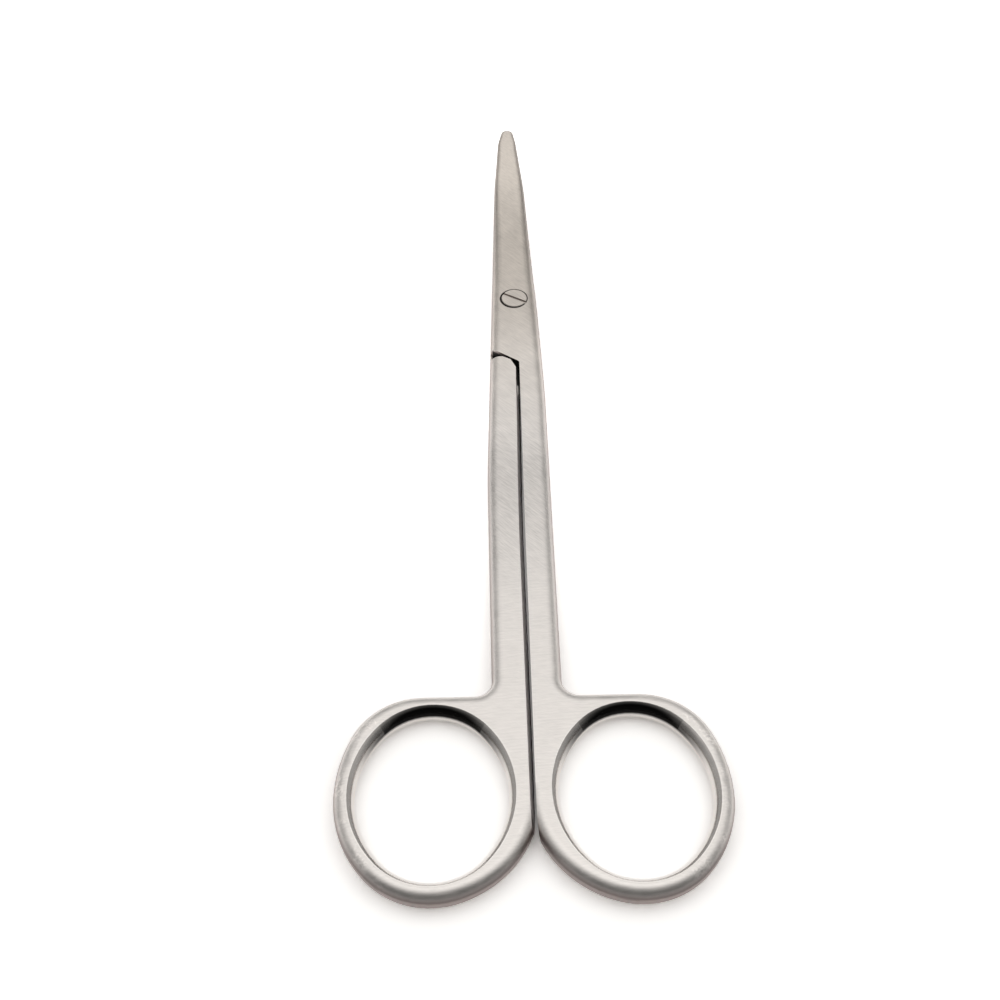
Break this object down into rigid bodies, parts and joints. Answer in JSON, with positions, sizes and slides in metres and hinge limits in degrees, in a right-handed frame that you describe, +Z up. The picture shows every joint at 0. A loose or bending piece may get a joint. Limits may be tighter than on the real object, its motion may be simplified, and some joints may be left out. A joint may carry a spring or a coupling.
{
  "type": "dissecting scissors",
  "caption": "Slender dissecting scissors with blunt upward-curved blades, a half-lap joint with a slotted pivot screw, and oval finger rings.",
  "frame": {"origin": "on the pivot's axis, in the plane of the underside of joint, shanks and rings, on which the scissors lie", "axes": "+Z up, the way the blades curve; +Y from the pivot towards the tips; +X towards the ring of the upper half"},
  "size_m": [0.0628, 0.1791, 0.0114],
  "materials": {
    "forged_steel": "satin, finely brushed",
    "screw_steel": "satin"
  },
  "bodies": {
    "lower_half": {"lower_half": "forged_steel", "pivot_screw": "screw_steel"},
    "upper_half": {"upper_half": "forged_steel"}
  },
  "joints": [
    {"name": "pivot", "type": "hinge", "parent": "lower_half", "child": "upper_half", "pos_m": [0, 0, 0], "axis": [0, 0, 1], "range_deg": [0, 90]}
  ]
}
